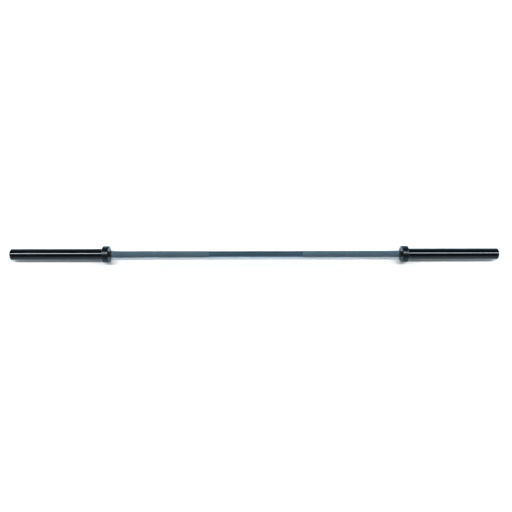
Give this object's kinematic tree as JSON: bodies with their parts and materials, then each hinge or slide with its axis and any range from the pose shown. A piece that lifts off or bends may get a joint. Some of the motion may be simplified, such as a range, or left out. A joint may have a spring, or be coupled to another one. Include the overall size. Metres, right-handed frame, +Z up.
{
  "type": "barbell",
  "caption": "Straight steel barbell with a knurled shaft and free-spinning sleeves for weight plates, each with a round collar, bronze bushings and retaining rings inside",
  "frame": {"origin": "the middle of the bar, on its axis", "axes": "+X runs along the bar to the right sleeve's end, +Z is up when the bar lies on its collars, and +Y completes the right-handed frame"},
  "size_m": [2.184, 0.0748, 0.0748],
  "materials": {
    "shaft_coat": "blue-grey plated steel, satin, cut with diamond knurling",
    "sleeve_coat": "gloss black plating over turned steel",
    "bronze": "machined, oily",
    "washer_steel": "ground flat",
    "spring_steel": "blackened and oiled",
    "cap_plastic": "moulded, fine matt"
  },
  "bodies": {
    "shaft_body": {"shaft": "shaft_coat", "right_inner_thrust_washer": "washer_steel", "right_outer_thrust_washer": "washer_steel", "right_wave_washer": "spring_steel", "right_backing_washer": "washer_steel", "right_shaft_retaining_ring": "spring_steel", "left_inner_thrust_washer": "washer_steel", "left_outer_thrust_washer": "washer_steel", "left_wave_washer": "spring_steel", "left_backing_washer": "washer_steel", "left_shaft_retaining_ring": "spring_steel"},
    "right_sleeve_body": {"right_sleeve": "sleeve_coat", "right_inner_bushing": "bronze", "right_outer_bushing": "bronze", "right_end_cap": "cap_plastic", "right_cap_retaining_ring": "spring_steel"},
    "left_sleeve_body": {"left_sleeve": "sleeve_coat", "left_inner_bushing": "bronze", "left_outer_bushing": "bronze", "left_end_cap": "cap_plastic", "left_cap_retaining_ring": "spring_steel"}
  },
  "joints": [
    {"name": "right_sleeve_spin", "type": "hinge", "parent": "shaft_body", "child": "right_sleeve_body", "pos_m": [0.655, 0, 0], "axis": [1, 0, 0], "continuous": true},
    {"name": "left_sleeve_spin", "type": "hinge", "parent": "shaft_body", "child": "left_sleeve_body", "pos_m": [-0.655, 0, 0], "axis": [1, 0, 0], "continuous": true}
  ]
}
